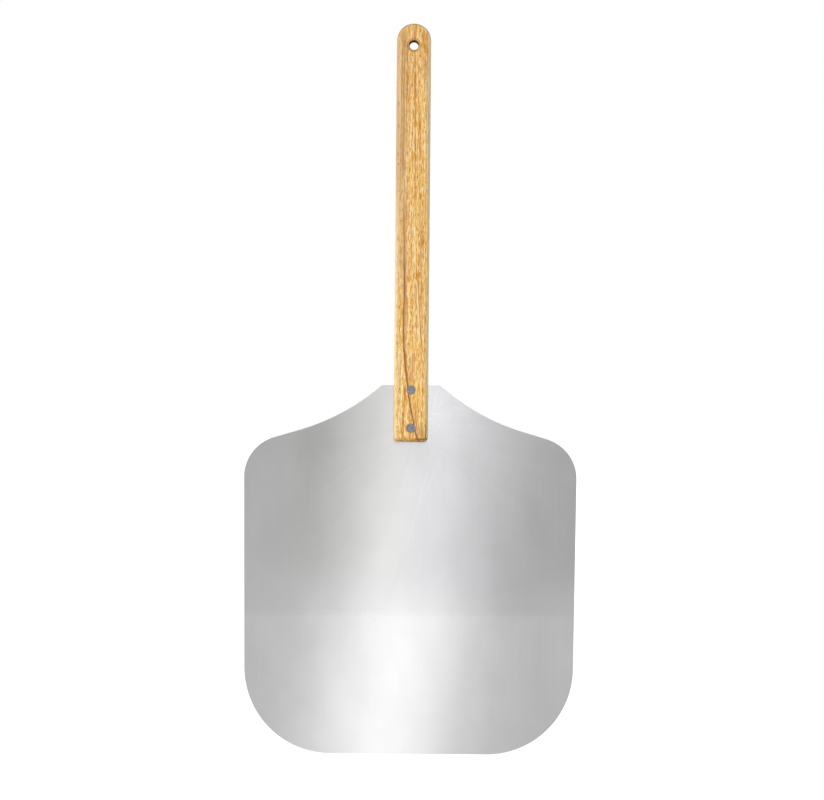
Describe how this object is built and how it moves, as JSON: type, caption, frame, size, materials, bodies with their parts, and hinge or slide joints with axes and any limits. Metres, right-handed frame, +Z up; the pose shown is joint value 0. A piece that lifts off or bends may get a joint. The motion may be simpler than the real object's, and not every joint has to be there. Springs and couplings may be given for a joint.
{
  "type": "pizza peel",
  "caption": "Pizza peel: thin aluminium blade with curved shoulders and a thinned front edge, riveted into the slot of a flat hardwood handle with a hanging hole.",
  "frame": {"origin": "centre of the hanging hole, halfway through the handle's thickness", "axes": "+Z up the handle, away from the blade, as the peel hangs; -Y out of the carrying face, whose sheet thins towards the front edge; +Y out of the flat underside; +X to the right of someone who looks at the carrying face"},
  "size_m": [0.3052, 0.019, 0.6697],
  "materials": {
    "blade_sheet": "satin rolled sheet",
    "handle_wood": "oiled hardwood, fine lengthwise grain",
    "rivet_metal": "dull, sanded flush"
  },
  "bodies": {
    "root": {"blade": "blade_sheet", "handle": "handle_wood", "rivet_upper_sleeve": "rivet_metal", "rivet_upper_stud": "rivet_metal", "rivet_lower_sleeve": "rivet_metal", "rivet_lower_stud": "rivet_metal"}
  },
  "joints": []
}
